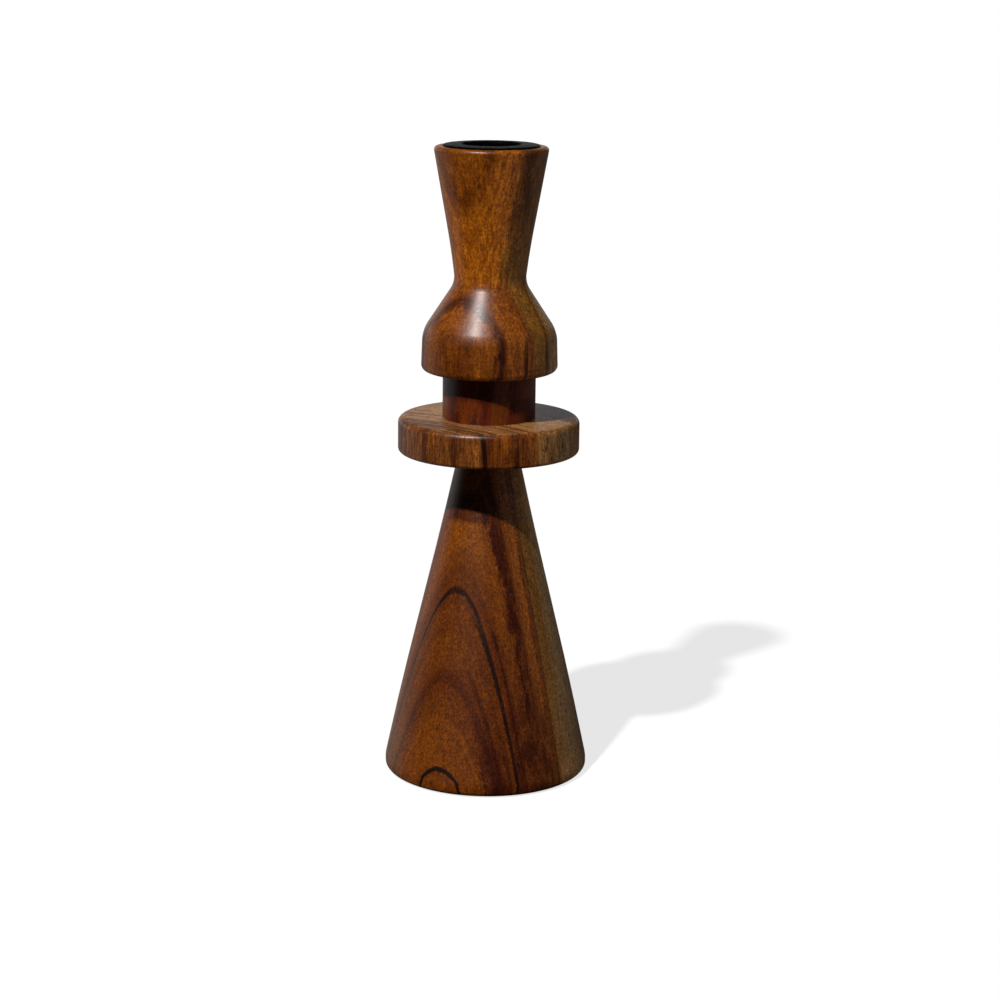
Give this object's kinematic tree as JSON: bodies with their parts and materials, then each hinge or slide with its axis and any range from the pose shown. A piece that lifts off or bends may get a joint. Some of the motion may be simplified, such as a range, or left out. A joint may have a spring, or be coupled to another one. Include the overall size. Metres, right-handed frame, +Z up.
{
  "type": "candle stand",
  "caption": "Turned hardwood stand with a tall conical foot, a round collar, a bell and a flared taper, with a black flanged metal cup in its top for a slim candle.",
  "frame": {"origin": "the middle of the underside, where the felt rests on the table", "axes": "+Z up the turning axis, towards the candle; X and Y are alike, with -Y towards the picture's viewer"},
  "size_m": [0.0822, 0.0822, 0.254],
  "materials": {
    "hardwood": "oiled satin, orange-brown with dark growth lines",
    "dowel_wood": "bare pale hardwood",
    "black_metal": "satin black",
    "screw_steel": "plain steel",
    "felt": "dense wool felt"
  },
  "bodies": {
    "root": {"foot_cone": "hardwood", "collar_disc": "hardwood", "neck_drum": "hardwood", "bell_stem": "hardwood", "centre_dowel": "dowel_wood", "candle_cup": "black_metal", "cup_screw": "screw_steel", "base_felt": "felt"}
  },
  "joints": []
}
